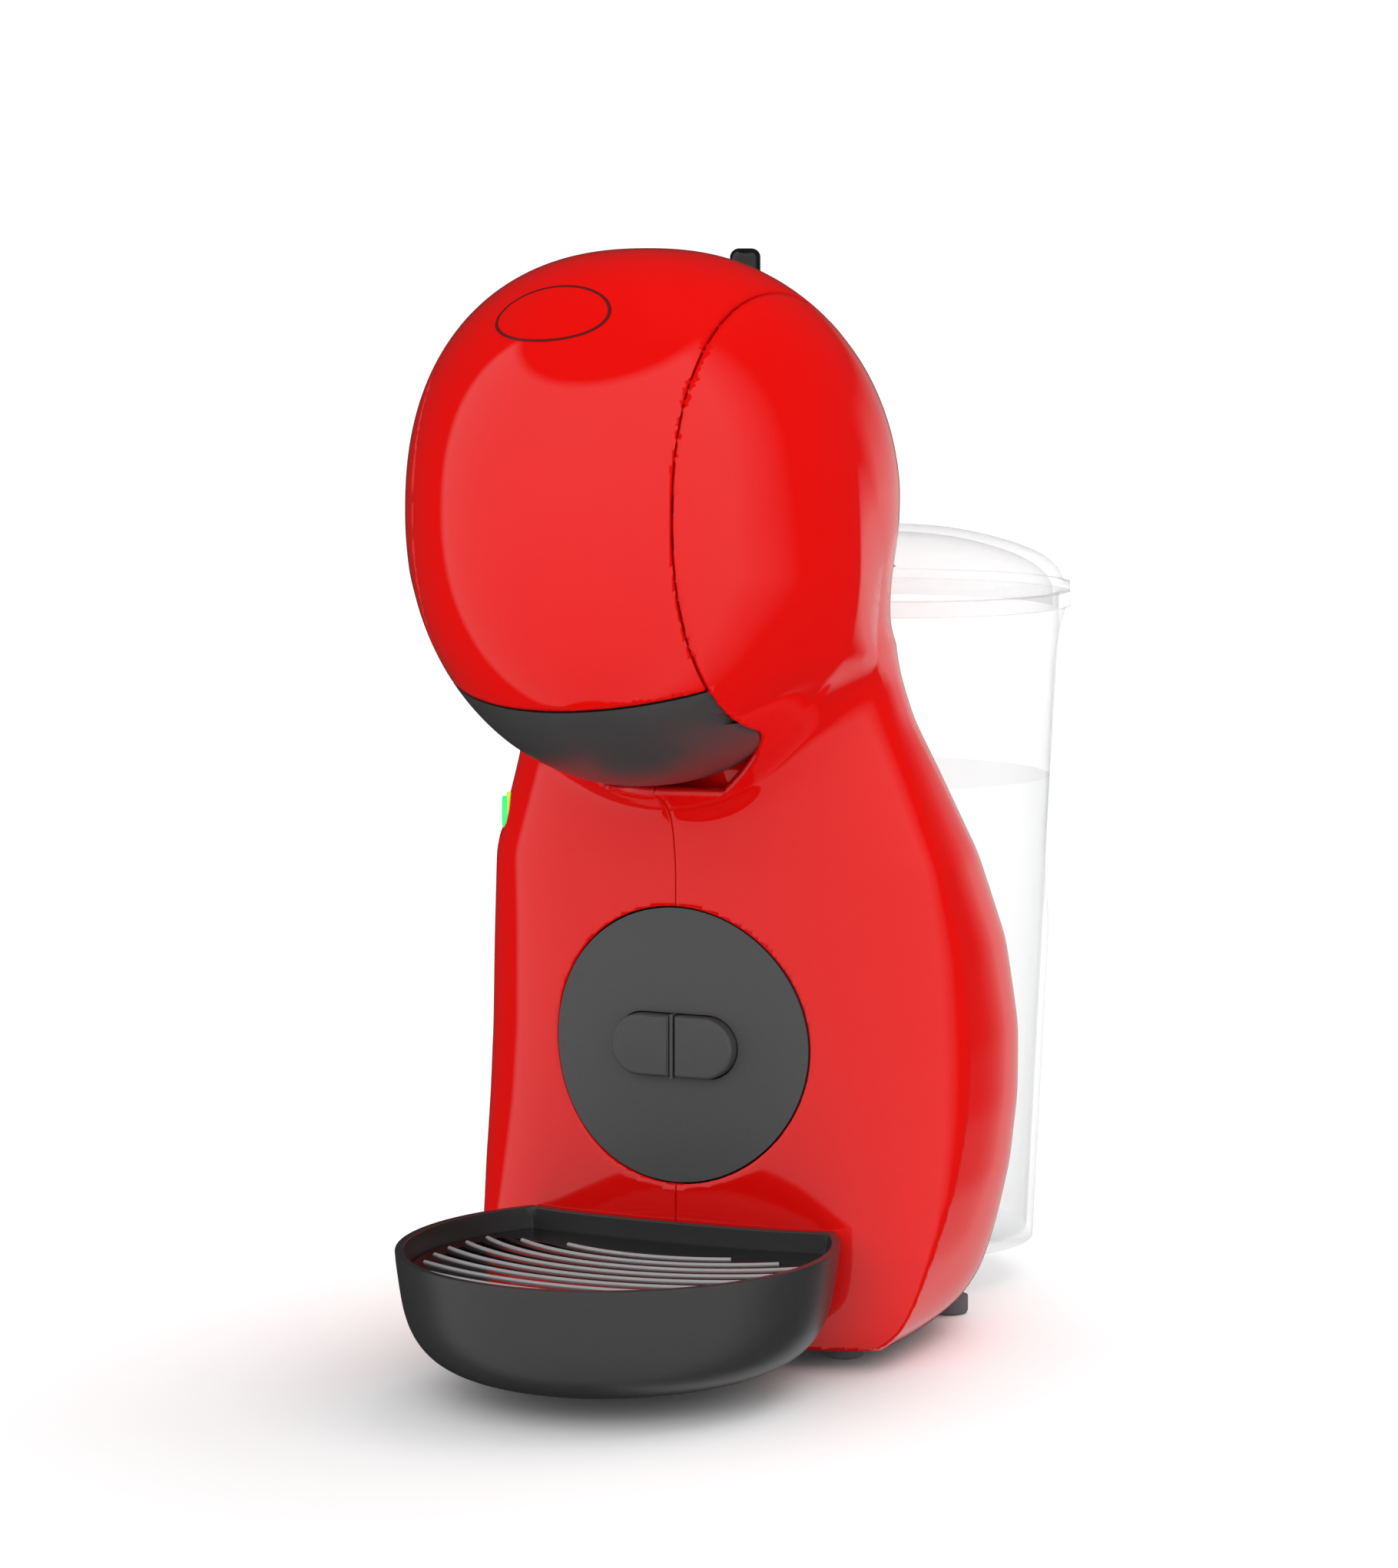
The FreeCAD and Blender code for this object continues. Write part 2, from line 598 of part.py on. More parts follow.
def dome(a, b, low, rise):
    wires = [ellipse_wire(a, b, TANK_Y, low)]
    for f in (0.3, 0.6, 0.82, 0.95):
        k = math.sqrt(1.0 - f * f)
        wires.append(ellipse_wire(a * k, b * k, TANK_Y, low + rise * f))
    wires.append(ellipse_wire(a * 0.06, b * 0.06, TANK_Y, low + rise * 0.998))
    return Part.makeLoft(wires, True, False)


def tank_lid():
    """Clear domed lid with a skirt that drops inside the tank's rim."""
    rim = Part.Face(ellipse_wire(TANK_RIM[0] - 0.3, TANK_RIM[1] - 0.3, TANK_Y, 191.2)).extrude(V(0, 0, 2.4))
    body = rim.fuse(dome(TANK_RIM[0] - 2.0, TANK_RIM[1] - 2.0, 193.4, 16.0))
    body = body.cut(dome(TANK_RIM[0] - 5.0, TANK_RIM[1] - 5.0, 191.0, 16.2))
    skirt = Part.Face(ellipse_wire(50.7, 48.0, TANK_Y, 186.5)).extrude(V(0, 0, 6.0))
    skirt = skirt.cut(Part.Face(ellipse_wire(49.2, 46.5, TANK_Y, 186.0)).extrude(V(0, 0, 8.0)))
    return biggest(body.fuse(skirt))


FLOOR_FORM = trunk(WALL, 16.0)
LEFT, RIGHT = shells()
SHELL_BODY = LEFT.fuse(RIGHT)

PARTS = {
    "left_shell": LEFT, "right_shell": RIGHT, "rear_spine": spine(),
    "visor": visor().cut(badge()), "visor_badge": badge(), "crown_knob": knob(),
    "hinge_block": hinge_block(), "hinge_pin": hinge_pin(),
    "capsule_holder": capsule_holder(), "capsule_ring": pod_ring(), "holder_rails": rails(),
    "brew_head": brew_head(), "injector_plate": injector_plate(),
    "injector_seal": injector_seal(), "injector_needle": injector_needle(),
    "front_disc": front_disc(), "key_fin": key_fin(), "hot_pad": pad(1), "cold_pad": pad(-1),
    "switch_board": switch_board(), "hot_switch": micro_switch(9.0), "cold_switch": micro_switch(-9.0),
    "power_button": power_button(), "power_ring": power_ring(), "power_switch": power_switch(),
    "base_plate": base_plate().cut(inlet_pipe()), "seat_coupling": seat_coupling(), "chassis": chassis(),
    "control_board": control_board(), "board_parts": board_parts(), "pump": pump(),
    "pump_mount_low": collar(38.0, 11.0, -15.0, 6.0), "pump_mount_high": collar(82.0, 11.0, -15.0, 6.0),
    "heater": heater(), "thermostat": thermostat(),
    "heater_clamp": collar(130.0, 14.5, -17.0, 8.0).cut(thermostat()),
    "inlet_pipe": inlet_pipe(), "feed_pipe": feed_pipe(), "brew_pipe": brew_pipe(),
    "cord_inlet": cord_inlet(), "floor_screws": screws(),
    "foot_rear_left": foot(-42.0, 39.5, 5.0, 5.0), "foot_rear_right": foot(42.0, 39.5, 5.0, 5.0),
    "foot_front_left": foot(-38.0, -22.0, 5.0, 5.0), "foot_front_right": foot(38.0, -22.0, 5.0, 5.0),
    "drip_tray": drip_tray(), "tray_foot": tray_foot(), "drip_grid": drip_grid(),
    "water_tank": water_tank(), "tank_valve": tank_valve(), "tank_lid": tank_lid(),
}

for name, shape in PARTS.items():
    save(name, shape)
    print(name, shape.isValid(), len(shape.Solids), round(shape.Volume))
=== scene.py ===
# %% [markdown]
# # A pod coffee machine
# The machine is a red, round-headed body with a lifting visor, a black drawer for the capsule, a drip
# tray and a clear water tank. The CAD model is loaded first as a fixed frame, so every piece made here
# is placed in its coordinates: metres, Z up, the front facing -Y, the worktop at zero.

# %% Load the frame
import bpy
import bmesh
import json
import math
import numpy as np
from mathutils import Matrix, Vector


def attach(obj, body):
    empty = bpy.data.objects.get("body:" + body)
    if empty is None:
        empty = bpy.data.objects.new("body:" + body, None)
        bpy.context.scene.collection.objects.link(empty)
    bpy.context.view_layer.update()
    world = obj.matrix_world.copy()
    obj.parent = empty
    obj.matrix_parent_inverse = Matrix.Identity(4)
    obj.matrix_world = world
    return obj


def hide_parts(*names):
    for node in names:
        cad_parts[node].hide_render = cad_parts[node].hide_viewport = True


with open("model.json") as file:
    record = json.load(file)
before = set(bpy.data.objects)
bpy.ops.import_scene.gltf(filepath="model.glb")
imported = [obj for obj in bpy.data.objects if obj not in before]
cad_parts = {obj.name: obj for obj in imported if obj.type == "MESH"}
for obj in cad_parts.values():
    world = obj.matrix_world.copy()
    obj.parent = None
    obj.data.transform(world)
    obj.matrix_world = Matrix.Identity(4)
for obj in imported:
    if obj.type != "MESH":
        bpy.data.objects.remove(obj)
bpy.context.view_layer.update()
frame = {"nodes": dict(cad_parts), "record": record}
MM = 0.001

# %% [markdown]
# ## Camera
# A long lens from well over a metre away keeps the upright edges nearly parallel. The camera stands to
# the right, level with the crown, and looks at the waist.

# %% Camera
bpy.context.scene.view_settings.view_transform = "Standard"
camera = bpy.data.objects.new("camera", bpy.data.cameras.new("camera"))
bpy.context.scene.collection.objects.link(camera)
camera.location = (0.5510, -1.2006, 0.28745)
aim = Vector((-0.01276, -0.0026, 0.14478)) - camera.location
camera.rotation_mode = "QUATERNION"
camera.rotation_quaternion = aim.to_track_quat("-Z", "Y")
camera.data.lens = 116.0
camera.data.sensor_width = 36.0
bpy.context.scene.camera = camera
print("camera is", round(aim.length, 3), "m from its aim")

# %% [markdown]
# ## Writing shader maths
# A material is a graph of nodes. This small class wraps one output, so that a pattern can be written as
# an ordinary sum or product, and each operator adds the Math node that does it.

# %% Shader helper
class Value:
    """One socket of a material's graph, with arithmetic."""

    def __init__(self, tree, socket):
        self.tree, self.socket = tree, socket

    def maths(self, operation, *others):
        n = self.tree.nodes.new("ShaderNodeMath")
        n.operation = operation
        for slot, v in zip(n.inputs, (self,) + others):
            if isinstance(v, Value):
                self.tree.links.new(v.socket, slot)
            else:
                slot.default_value = v
        return Value(self.tree, n.outputs[0])

    def __add__(self, o):
        return self.maths("ADD", o)

    def __mul__(self, o):
        return self.maths("MULTIPLY", o)

    def __sub__(self, o):
        return self.maths("SUBTRACT", o)

    def __neg__(self):
        return self * -1.0

    def above(self, edge, soft):
        """0 below the edge, 1 above it, with a ramp that is soft wide."""
        return ((self - edge) * (1.0 / soft) + 0.5).maths("MINIMUM", 1.0).maths("MAXIMUM", 0.0)

    def below(self, edge, soft):
        return 1.0 - self.above(edge, soft)

    def __rsub__(self, o):
        return (self * -1.0).maths("ADD", o)

    __radd__ = __add__
    __rmul__ = __mul__


class Finish:
    """A material under construction."""

    def __init__(self, name, colour, roughness, **fixed):
        self.material = bpy.data.materials.new(name)
        self.material.use_nodes = True
        self.tree = self.material.node_tree
        self.shader = self.tree.nodes["Principled BSDF"]
        self.shader.inputs["Base Color"].default_value = (*colour, 1.0)
        self.shader.inputs["Roughness"].default_value = roughness
        for key, v in fixed.items():
            self.shader.inputs[key.replace("_", " ")].default_value = v

    def node(self, kind, settings=None, **inputs):
        """Any node: its settings first, then its inputs as values or links."""
        n = self.tree.nodes.new(kind)
        for key, v in (settings or {}).items():
            setattr(n, key, v)
        for key, v in inputs.items():
            slot = n.inputs[key.replace("_", " ")]
            if isinstance(v, Value):
                self.tree.links.new(v.socket, slot)
            else:
                slot.default_value = v
        return n

    def place(self, scale=(1.0, 1.0, 1.0), turn=(0.0, 0.0, 0.0)):
        """Object coordinates, stretched for patterns that run one way."""
        c = self.node("ShaderNodeTexCoord")
        m = self.node("ShaderNodeMapping", Vector=Value(self.tree, c.outputs["Object"]),
                      Scale=scale, Rotation=turn)
        return Value(self.tree, m.outputs[0])

    def noise(self, scale, detail=3.0, where=None):
        n = self.node("ShaderNodeTexNoise", Vector=where or self.place(), Scale=scale, Detail=detail)
        return Value(self.tree, n.outputs[0])

    def feed(self, socket, value):
        self.tree.links.new(value.socket, self.shader.inputs[socket])

    def tint(self, mask, colour):
        """Mixes a second colour into the base where the mask is high."""
        base = tuple(self.shader.inputs["Base Color"].default_value)
        m = self.node("ShaderNodeMix", {"data_type": "RGBA"})
        self.tree.links.new(mask.socket, m.inputs[0])
        m.inputs[6].default_value = base
        m.inputs[7].default_value = (*colour, 1.0)
        self.tree.links.new(m.outputs[2], self.shader.inputs["Base Color"])

    def relief(self, height, depth, strength=1.0):
        b = self.node("ShaderNodeBump", Height=height, Distance=depth, Strength=strength)
        self.feed("Normal", Value(self.tree, b.outputs[0]))


print("shader helper ready")

# %% [markdown]
# ## Light
# Glossy plastic shows its surroundings more than its own colour. The room is a tent of pale cloth that
# is open at the top and on the far left and right, so its reflection ends in clear edges that run along
# the curves. Light that arrives by scattering is even, and two soft panels shape it.

# %% Room
world = bpy.data.worlds.new("studio")
bpy.context.scene.world = world
world.use_nodes = True
tree = world.node_tree
sky = tree.nodes["Background"]
way = tree.nodes.new("ShaderNodeTexCoord")
split = tree.nodes.new("ShaderNodeSeparateXYZ")
tree.links.new(way.outputs["Generated"], split.inputs[0])
east, north, height = (Value(tree, split.outputs[i]) for i in range(3))
DEGREES = 180.0 / math.pi
turn = east.maths("ARCTAN2", -north) * DEGREES
rise = height.maths("ARCSINE") * DEGREES
tent = turn.above(-86.0, 5.0) * turn.below(112.0, 26.0) * rise.below(54.0, 5.0)
wall = turn.maths("ABSOLUTE").above(165.0, 8.0) * rise.below(4.0, 12.0)
fall = rise.above(-30.0, 110.0) * 0.45 + 0.35
glow = tent * fall * 1.15 + wall * 0.55 + 0.03
path = tree.nodes.new("ShaderNodeLightPath")
gloss = Value(tree, path.outputs["Is Glossy Ray"])
shade = tree.nodes.new("ShaderNodeMix")
shade.data_type = "RGBA"
tree.links.new(gloss.socket, shade.inputs[0])
grey = tree.nodes.new("ShaderNodeCombineColor")
for i in range(3):
    tree.links.new(glow.socket, grey.inputs[i])
shade.inputs[6].default_value = (0.97, 0.97, 0.975, 1.0)
tree.links.new(grey.outputs[0], shade.inputs[7])
tree.links.new(shade.outputs[2], sky.inputs["Color"])


# %% Panels
def panel(name, at, to, width, height, watts):
    """A soft rectangular light at a place, facing a point; mirrors don't show it."""
    data = bpy.data.lights.new(name, "AREA")
    data.shape = "RECTANGLE"
    data.size, data.size_y = width, height
    data.energy = watts
    lamp = bpy.data.objects.new(name, data)
    bpy.context.scene.collection.objects.link(lamp)
    lamp.location = at
    lamp.rotation_mode = "QUATERNION"
    lamp.rotation_quaternion = (Vector(to) - Vector(at)).to_track_quat("-Z", "Y")
    lamp.visible_glossy = False
    return lamp


panel("front_panel", (0.5, -2.2, 1.1), (0, -0.05, 0.18), 1.6, 1.6, 12)
panel("back_panel", (0.4, 1.4, 2.2), (0, 1.0, 0.0), 2.5, 1.5, 30)

# %% [markdown]
# The floor is one sheet that bends up into a wall far behind the machine, so no horizon shows.

# %% Floor that curves up into a wall
FLAT, BEND, RISE = 1.6, 1.6, 1.02
bm = bmesh.new()
bmesh.ops.create_grid(bm, x_segments=2, y_segments=60, size=1.0)
for v in bm.verts:
    run = (v.co.y + 1.0) * 3.6 - 3.6
    bend = min(max((run - FLAT) / BEND, 0.0), 1.0)
    angle = bend * math.pi / 2
    up = RISE * (1 - math.cos(angle)) + max(run - FLAT - BEND, 0.0) * 3.0
    v.co = (v.co.x * 5.0, min(run, FLAT) + RISE * math.sin(angle), up)
bmesh.ops.recalc_face_normals(bm, faces=bm.faces)
mesh = bpy.data.meshes.new("floor")
bm.to_mesh(mesh)
bm.free()
mesh.shade_smooth()
floor = bpy.data.objects.new("floor", mesh)
bpy.context.scene.collection.objects.link(floor)
floor.visible_glossy = False
print("lights", len(bpy.data.lights))

# %% [markdown]
# ## Finishes
# Polished injection-moulded plastic has a very faint long waviness from the mould, a fine haze that
# varies, and a clear reflection. Satin and matte mouldings have a fine spark-eroded grain instead.

# %% Red plastic
def red_plastic(name, colour, deep):
    f = Finish(name, colour, 0.07, IOR=1.50, Specular_IOR_Level=0.5)
    f.tint(f.noise(9.0, 2.0) * 0.5, deep)
    f.feed("Roughness", f.noise(60.0, 4.0) * 0.035 + 0.045)
    f.relief(f.noise(14.0, 1.0), 0.00006)
    return f.material


shell_red = red_plastic("shell_red", (0.70, 0.0035, 0.0025), (0.67, 0.0025, 0.0018))
visor_red = red_plastic("visor_red", (0.70, 0.0035, 0.0025), (0.67, 0.0025, 0.0018))
spine_red = red_plastic("spine_red", (0.62, 0.006, 0.005), (0.58, 0.004, 0.004))
print("red finishes made")

# %% Grained and polished blacks
def grained(name, colour, roughness, grain=900.0, depth=0.00003, worn=None, **fixed):
    """Moulded plastic with a fine eroded grain."""
    f = Finish(name, colour, roughness, **fixed)
    fine = f.noise(grain, 2.0)
    f.feed("Roughness", f.noise(25.0, 3.0) * 0.08 + (roughness - 0.04))
    f.tint(fine * 0.6, worn or tuple(min(1.0, c * 1.25) for c in colour))
    f.relief(fine, depth)
    return f.material


black_gloss = grained("black_gloss", (0.006, 0.006, 0.007), 0.13, 300.0, 0.000006)
tray_black = grained("tray_black", (0.026, 0.026, 0.027), 0.32, 1100.0, 0.00002)
chin_black = grained("chin_black", (0.040, 0.040, 0.041), 0.32, 1100.0, 0.00002)
disc_grey = grained("disc_grey", (0.052, 0.052, 0.054), 0.52, 1400.0, 0.00003)
rubber_black = grained("rubber_black", (0.10, 0.10, 0.105), 0.75, 700.0, 0.00004)
rubber_grey = grained("rubber_grey", (0.22, 0.22, 0.23), 0.70, 700.0, 0.00004)
frame_grey = grained("frame_grey", (0.055, 0.055, 0.058), 0.45, 900.0, 0.00003)
white_plastic = grained("white_plastic", (0.70, 0.70, 0.68), 0.40, 900.0, 0.00002)
board_green = grained("board_green", (0.02, 0.14, 0.06), 0.35, 400.0, 0.00002)
part_grey = grained("part_grey", (0.16, 0.17, 0.19), 0.45, 800.0, 0.00003)
badge_dark = grained("badge_dark", (0.10, 0.006, 0.006), 0.25, 800.0, 0.00001)
hose_clear = grained("hose_clear", (0.62, 0.63, 0.61), 0.35, 500.0, 0.00001)
print("plastic finishes", len(bpy.data.materials))


# %% [markdown]
# Metals show fine drawn lines. The two lights glow unevenly, as a diffuser over a small lamp does. Clear
# mouldings are almost invisible face on and grey along their walls.

# %% Metals, lights and clear plastics
def metal(name, colour, roughness):
    """Drawn metal: fine lines that run around the part."""
    f = Finish(name, colour, roughness, Metallic=1.0)
    lines = f.noise(350.0, 3.0, f.place(scale=(1.0, 1.0, 12.0)))
    f.feed("Roughness", lines * 0.18 + (roughness - 0.08))
    f.relief(lines, 0.00001)
    return f.material


steel = metal("steel", (0.60, 0.60, 0.61), 0.26)
aluminium_cast = metal("aluminium_cast", (0.66, 0.66, 0.67), 0.42)


def lit(name, colour, glow, strength):
    """A small diffuser with a lamp behind it."""
    f = Finish(name, colour, 0.25, Emission_Strength=strength)
    cloud = f.noise(220.0, 1.0)
    m = f.node("ShaderNodeMix", {"data_type": "RGBA"})
    f.tree.links.new(cloud.socket, m.inputs[0])
    m.inputs[6].default_value = (*glow, 1.0)
    m.inputs[7].default_value = tuple(c * 0.8 for c in glow) + (1.0,)
    f.tree.links.new(m.outputs[2], f.shader.inputs["Emission Color"])
    return f.material


green_light = lit("green_light", (0.04, 0.60, 0.16), (0.02, 0.70, 0.16), 0.9)
ring_light = lit("ring_light", (0.45, 0.72, 0.08), (0.40, 0.80, 0.08), 0.7)


def clear(name, colour, thin, edge, roughness):
    """Clear moulding: nearly invisible face on, greyer where it is seen along its wall."""
    f = Finish(name, colour, roughness, IOR=1.49)
    w = Value(f.tree, f.node("ShaderNodeLayerWeight", Blend=0.35).outputs["Facing"])
    haze = f.noise(30.0, 2.0) * 0.02
    f.feed("Alpha", w.maths("POWER", 2.2) * edge + thin + haze)
    f.feed("Roughness", f.noise(90.0, 3.0) * 0.03 + roughness)
    return f.material


tank_clear = clear("tank_clear", (0.86, 0.88, 0.88), 0.05, 0.30, 0.03)
lid_clear = clear("lid_clear", (0.84, 0.85, 0.85), 0.16, 0.30, 0.08)
water_clear = clear("water_clear", (0.80, 0.88, 0.86), 0.05, 0.20, 0.01)
floor_pale = Finish("floor_pale", (0.96, 0.96, 0.96), 0.6)
floor_pale.feed("Roughness", floor_pale.noise(3.0) * 0.1 + 0.55)
floor.data.materials.append(floor_pale.material)
print("all finishes", len(bpy.data.materials))

# %% [markdown]
# ## Parts that keep their CAD shape
# The parts inside the body, and small plain ones, are already right. They only need their finish.
# A part of the record's list of finishes is looked up by its slot, so both models agree.

# %% Finish for every CAD part
finish_of = {"shell_red": shell_red, "visor_red": visor_red, "spine_red": spine_red,
             "black_gloss": black_gloss, "black_satin": chin_black, "disc_grey": disc_grey,
             "badge_dark": badge_dark, "steel": steel, "rubber_black": rubber_black,
             "rubber_grey": rubber_grey, "green_light": green_light, "ring_light": ring_light,
             "frame_grey": frame_grey, "white_plastic": white_plastic, "board_green": board_green,
             "part_grey": part_grey, "aluminium_cast": aluminium_cast, "hose_clear": hose_clear,
             "tank_clear": tank_clear, "lid_clear": lid_clear}
body_of = {n: b for b, ns in frame["record"]["behaviour"]["bodies"].items() for n in ns}
slot_of = {}
for node, obj in frame["nodes"].items():
    name = obj.data.materials[0].name.split(".")[0] if obj.data.materials else ""
    slot_of[node] = name if name in finish_of else "frame_grey"
    obj.data.materials.clear()
    obj.data.materials.append(finish_of[slot_of[node]])
print({s: sum(v == s for v in slot_of.values()) for s in sorted(set(slot_of.values()))})

# %% [markdown]
# ## Rounded copies
# Real mouldings have no knife edges. A copy of a CAD part is welded into one skin, its flat faces are
# joined into whole polygons, and a small live bevel rounds every edge that is sharper than its limit.

# %% Helpers that make pieces
def piece(name, bm, material, body, replaced=(), smooth=35.0):
    """Turns a bmesh into a finished piece that rides on a CAD body."""
    data = bpy.data.meshes.new(name)
    bm.to_mesh(data)
    bm.free()
    obj = bpy.data.objects.new(name, data)
    bpy.context.scene.collection.objects.link(obj)
    data.materials.append(material)
    data.shade_smooth()
    data.set_sharp_from_angle(angle=math.radians(smooth))
    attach(obj, body)
    if replaced:
        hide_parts(*replaced)
    return obj


def round_edges(obj, width, limit=40.0, segments=2):
    """A live bevel on the edges that are sharper than the limit."""
    m = obj.modifiers.new("round", "BEVEL")
    m.width = width
    m.segments = segments
    m.profile = 0.5
    m.limit_method = "ANGLE"
    m.angle_limit = math.radians(limit)
    m.harden_normals = True
    return obj


def welded(node, weld=0.000004, flat=0.6):
    """A CAD part's skin as one closed bmesh with whole flat faces."""
    bm = bmesh.new()
    bm.from_mesh(frame["nodes"][node].data)
    bmesh.ops.remove_doubles(bm, verts=bm.verts, dist=weld)
    if flat:
        bmesh.ops.dissolve_limit(bm, angle_limit=math.radians(flat), verts=bm.verts, edges=bm.edges)
    return bm


def rounded_copy(node, width, material=None, name=None, limit=40.0, smooth=35.0, flat=0.6):
    slot = slot_of[node]
    obj = piece(name or node + "_skin", welded(node, flat=flat), material or finish_of[slot],
                body_of[node], (node,), smooth)
    if width:
        round_edges(obj, width, limit)
    return obj


for node, width in (("hinge_block", 0.0003), ("holder_rails", 0.0002), ("hot_pad", 0.0005),
                    ("cold_pad", 0.0005), ("key_fin", 0.0001), ("power_button", 0.0004),
                    ("capsule_ring", 0.0003), ("brew_head", 0.0008), ("injector_plate", 0.0004),
                    ("foot_rear_left", 0.0005), ("foot_rear_right", 0.0005),
                    ("foot_front_left", 0.0005), ("foot_front_right", 0.0005),
                    ("tray_foot", 0.0005)):
    rounded_copy(node, width)
print("rounded copies done")

# %% [markdown]
# ## The red body as a soft form
# The real shells are one flowing surface: an egg-shaped head grows out of a waisted trunk. It could be
# sculpted, but a short formula is easier to keep exact. Each of the two forms gives the distance from a
# point to its surface, and the two distances are melted together where head and trunk meet.

# %% Sizes of head and trunk
# height, half width, front, back, side crease, roundness of the back
TRUNK = np.array([(5.0, 55.0, -42.6, 43.0, -33.0, 3.6), (9.0, 59.4, -44.0, 46.2, -33.0, 4.2),
                  (16.0, 62.6, -44.0, 49.3, -32.0, 4.5), (28.0, 65.2, -44.0, 51.6, -28.0, 4.5),
                  (44.0, 67.3, -44.0, 53.6, -20.0, 4.5), (62.0, 68.2, -44.0, 55.0, -13.5, 4.5),
                  (80.0, 68.1, -44.0, 54.8, -11.0, 4.5), (104.0, 66.9, -44.0, 52.0, -13.0, 3.8),
                  (128.0, 63.6, -44.0, 44.1, -20.0, 3.2), (152.0, 55.8, -47.6, 31.2, -21.0, 2.8),
                  (164.0, 51.8, -50.5, 25.5, -23.0, 2.5), (176.0, 49.6, -57.0, 22.5, -27.0, 2.4),
                  (190.0, 50.4, -80.0, 20.5, -40.0, 2.4), (205.0, 52.8, -108.0, 20.4, -54.5, 2.3)])
HEAD_AT = (0.0, -59.6, 220.0)
HEAD_W, HEAD_FRONT, HEAD_UP, HEAD_DOWN = 55.4, 76.6, 65.35, 69.2
HEAD_BACK = np.array([(150.0, 76.6), (165.0, 77.5), (176.0, 79.9), (188.0, 84.7), (205.0, 84.2),
                      (220.0, 85.6), (235.0, 85.8), (251.0, 83.3), (262.0, 81.0), (270.0, 76.5),
                      (279.0, 66.0), (286.0, 61.3)])


def along(heights, values, spread):
    """Reads a column of a table by height, softened so that no row shows as a band."""
    grid = np.arange(-40.0, 330.0, 1.0)
    v = np.interp(grid, heights, values)
    low = grid < heights[0]
    v[low] += (grid[low] - heights[0]) * (values[1] - values[0]) / (heights[1] - heights[0])
    bell = np.exp(-0.5 * (np.arange(-24, 25) / spread) ** 2)
    v = np.convolve(np.pad(v, 24, mode="edge"), bell / bell.sum(), "valid")
    return lambda z: np.interp(z, grid, v)


trunk_reads = [along(TRUNK[:, 0], TRUNK[:, i], 2.2 if i < 5 else 6.0) for i in range(1, 6)]
head_back = along(HEAD_BACK[:, 0], HEAD_BACK[:, 1], 6.0)


def trunk_gap(p):
    """Distance outside the trunk in millimetres, measured level and outwards."""
    x, y, z = np.abs(p[:, 0]), p[:, 1], p[:, 2]
    w, front, back, crease, n = (r(z) for r in trunk_reads)
    middle = crease + 5.0
    d = middle - front
    rho = ((x / w) ** 2.3 + (np.abs(y - middle) / d) ** 2.3) ** (1 / 2.3)
    ahead = np.hypot(x, y - middle) * (1.0 - 1.0 / np.maximum(rho, 1e-6))
    edge = w * (1.0 - (5.0 / d) ** 2.3) ** (1 / 2.3)
    deep = back - crease
    run = np.maximum(y - crease, 0.0)
    rho = ((x / (edge * (1.0 - 0.03 * run / deep))) ** n + (run / deep) ** n) ** (1 / n)
    behind = np.hypot(x, run) * (1.0 - 1.0 / np.maximum(rho, 1e-6))
    return np.maximum(np.where(y < crease, ahead, behind) + 0.35 * np.maximum(z - 184.0, 0.0), z - 212.0)


def head_gap(p):
    """Distance outside the head in millimetres, measured from its centre."""
    q = p - np.array(HEAD_AT)
    up = q[:, 2] >= 0
    n = np.where(up, 2.32, 2.05)
    tall = (np.abs(q[:, 2]) / np.where(up, HEAD_UP, HEAD_DOWN)) ** n
    ahead = q[:, 1] < 0
    m = np.where(ahead, 2.0, 2.25 - 0.25 * np.clip((p[:, 2] - 225.0) / 37.0, 0, 1))
    deep = np.where(ahead, HEAD_FRONT, head_back(p[:, 2]))
    plan = (np.abs(q[:, 0]) / HEAD_W) ** m + (np.abs(q[:, 1]) / deep) ** m
    rho = (plan ** (n / m) + tall) ** (1 / n)
    return np.linalg.norm(q, axis=1) * (1.0 - 1.0 / np.maximum(rho, 1e-6))


def body_gap(p):
    """Head and trunk melted together, more widely under the cheeks."""
    melt = 11.0 + 12.0 * np.clip((-32.0 - p[:, 1]) / 24.0, 0.0, 1.0)
    a, b = head_gap(p), trunk_gap(p)
    h = np.clip(0.5 + 0.5 * (b - a) / melt, 0.0, 1.0)
    return b * (1 - h) + a * h - melt * h * (1 - h)


def slope(gap, p, step=0.02):
    """Direction in which a distance grows fastest, by small steps each way."""
    cols = []
    for axis in np.eye(3) * step:
        cols.append((gap(p + axis) - gap(p - axis)) / (2 * step))
    return np.stack(cols, axis=1)


def settle(gap, p, rounds=6):
    """Moves points onto the surface where a distance is nought."""
    for _ in range(rounds):
        g = slope(gap, p)
        size = np.maximum((g * g).sum(axis=1), 0.04)
        p = p - g * (np.clip(gap(p), -6, 6) / size)[:, None]
    return p


print("head and trunk ready")

# %% [markdown]
# ## From formula to mesh
# A ball and a tapered drum are put roughly in place. A voxel remesh turns the two into one skin of even
# squares, and each vertex then slides onto the formula's surface. Relaxing and sliding a few times
# evens out the squares, which a glossy surface needs more than anything else.

# %% Helpers for vertex places
def places(bm):
    return np.array([v.co for v in bm.verts]) / MM


def put(bm, p):
    for v, c in zip(bm.verts, p * MM):
        v.co = c


def baked(obj):
    """The mesh of an object with its modifiers done, and the object itself removed."""
    graph = bpy.context.evaluated_depsgraph_get()
    data = bpy.data.meshes.new_from_object(obj.evaluated_get(graph))
    bpy.data.objects.remove(obj)
    return data


def loose(name, bm):
    """A bmesh as a plain object, for a modifier to work on."""
    data = bpy.data.meshes.new(name)
    bm.to_mesh(data)
    bm.free()
    obj = bpy.data.objects.new(name, data)
    bpy.context.scene.collection.objects.link(obj)
    return obj


